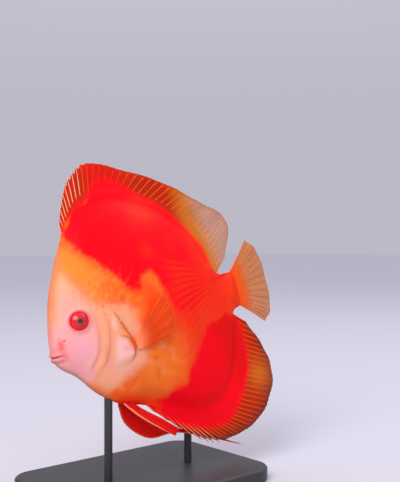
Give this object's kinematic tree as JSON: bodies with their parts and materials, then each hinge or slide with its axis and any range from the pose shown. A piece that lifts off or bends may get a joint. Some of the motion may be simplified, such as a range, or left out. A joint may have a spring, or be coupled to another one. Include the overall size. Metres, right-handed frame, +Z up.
{
  "type": "discus_fish",
  "caption": "A life-size still model of a red and orange discus fish, tilted nose down and held above a plain dark display base by short rods.",
  "frame": {"origin": "centre of the stand base's underside", "axes": "+Z up; the fish swims towards -X with its left flank towards -Y, nose down and banked on its stand"},
  "size_m": [0.1606, 0.084, 0.1779],
  "materials": {
    "skin": "satin painted fish skin, orange and red with a pinkish face",
    "fin": "thin rayed membrane, red and brown with orange rays",
    "pale_fin": "thin clear orange membrane",
    "eye": "glossy red iris with a black pupil",
    "stand": "satin black paint"
  },
  "bodies": {
    "root": {"head": "skin", "trunk": "skin", "tail_stem": "skin", "eye_left": "eye", "eye_right": "eye", "dorsal_fin": "fin", "anal_fin": "fin", "caudal_fin": "fin", "pectoral_fin_left": "pale_fin", "pectoral_fin_right": "pale_fin", "pelvic_fin_left": "fin", "pelvic_fin_right": "fin", "stand_base": "stand", "stand_rod_front": "stand", "stand_rod_rear": "stand"}
  },
  "joints": []
}
